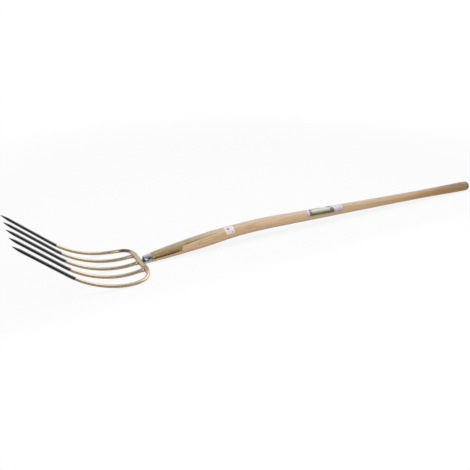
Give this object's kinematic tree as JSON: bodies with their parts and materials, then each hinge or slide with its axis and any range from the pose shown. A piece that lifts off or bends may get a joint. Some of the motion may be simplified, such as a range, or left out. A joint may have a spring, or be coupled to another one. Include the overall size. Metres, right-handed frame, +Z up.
{
  "type": "garden fork",
  "caption": "Long-handled garden fork with curved round steel tines, black dipped ends, a strapped neck and a bent wooden handle.",
  "frame": {"origin": "on the ground under the middle of the fork's length, in its plane of symmetry, as it lies with the tines pointing up", "axes": "+X from the tines to the handle's butt, +Y towards the far outer tine, +Z up"},
  "size_m": [1.6692, 0.2144, 0.1744],
  "materials": {
    "lacquered_steel": "clear gold-coloured lacquer over bright steel",
    "weld": "lacquered weld bead, slightly rough",
    "black_dip": "satin black dipped paint",
    "zinc_plate": "bright zinc plate",
    "ash_wood": "sanded ash, thinly waxed",
    "white_paper": "satin white sticker",
    "printed_paper": "satin printed label"
  },
  "bodies": {
    "root": {"tine_bow": "lacquered_steel", "near_inner_tine": "lacquered_steel", "centre_tine": "lacquered_steel", "far_inner_tine": "lacquered_steel", "near_inner_tine_weld": "weld", "centre_tine_weld": "weld", "far_inner_tine_weld": "weld", "near_inner_tine_dip": "black_dip", "centre_tine_dip": "black_dip", "far_inner_tine_dip": "black_dip", "near_outer_tine_dip": "black_dip", "far_outer_tine_dip": "black_dip", "tang": "lacquered_steel", "tang_weld": "weld", "ferrule": "zinc_plate", "ferrule_pin": "zinc_plate", "strap_nail_front": "lacquered_steel", "strap_nail_rear": "lacquered_steel", "handle_strap": "lacquered_steel", "handle": "ash_wood", "size_sticker": "white_paper", "wrap_label": "printed_paper"}
  },
  "joints": []
}
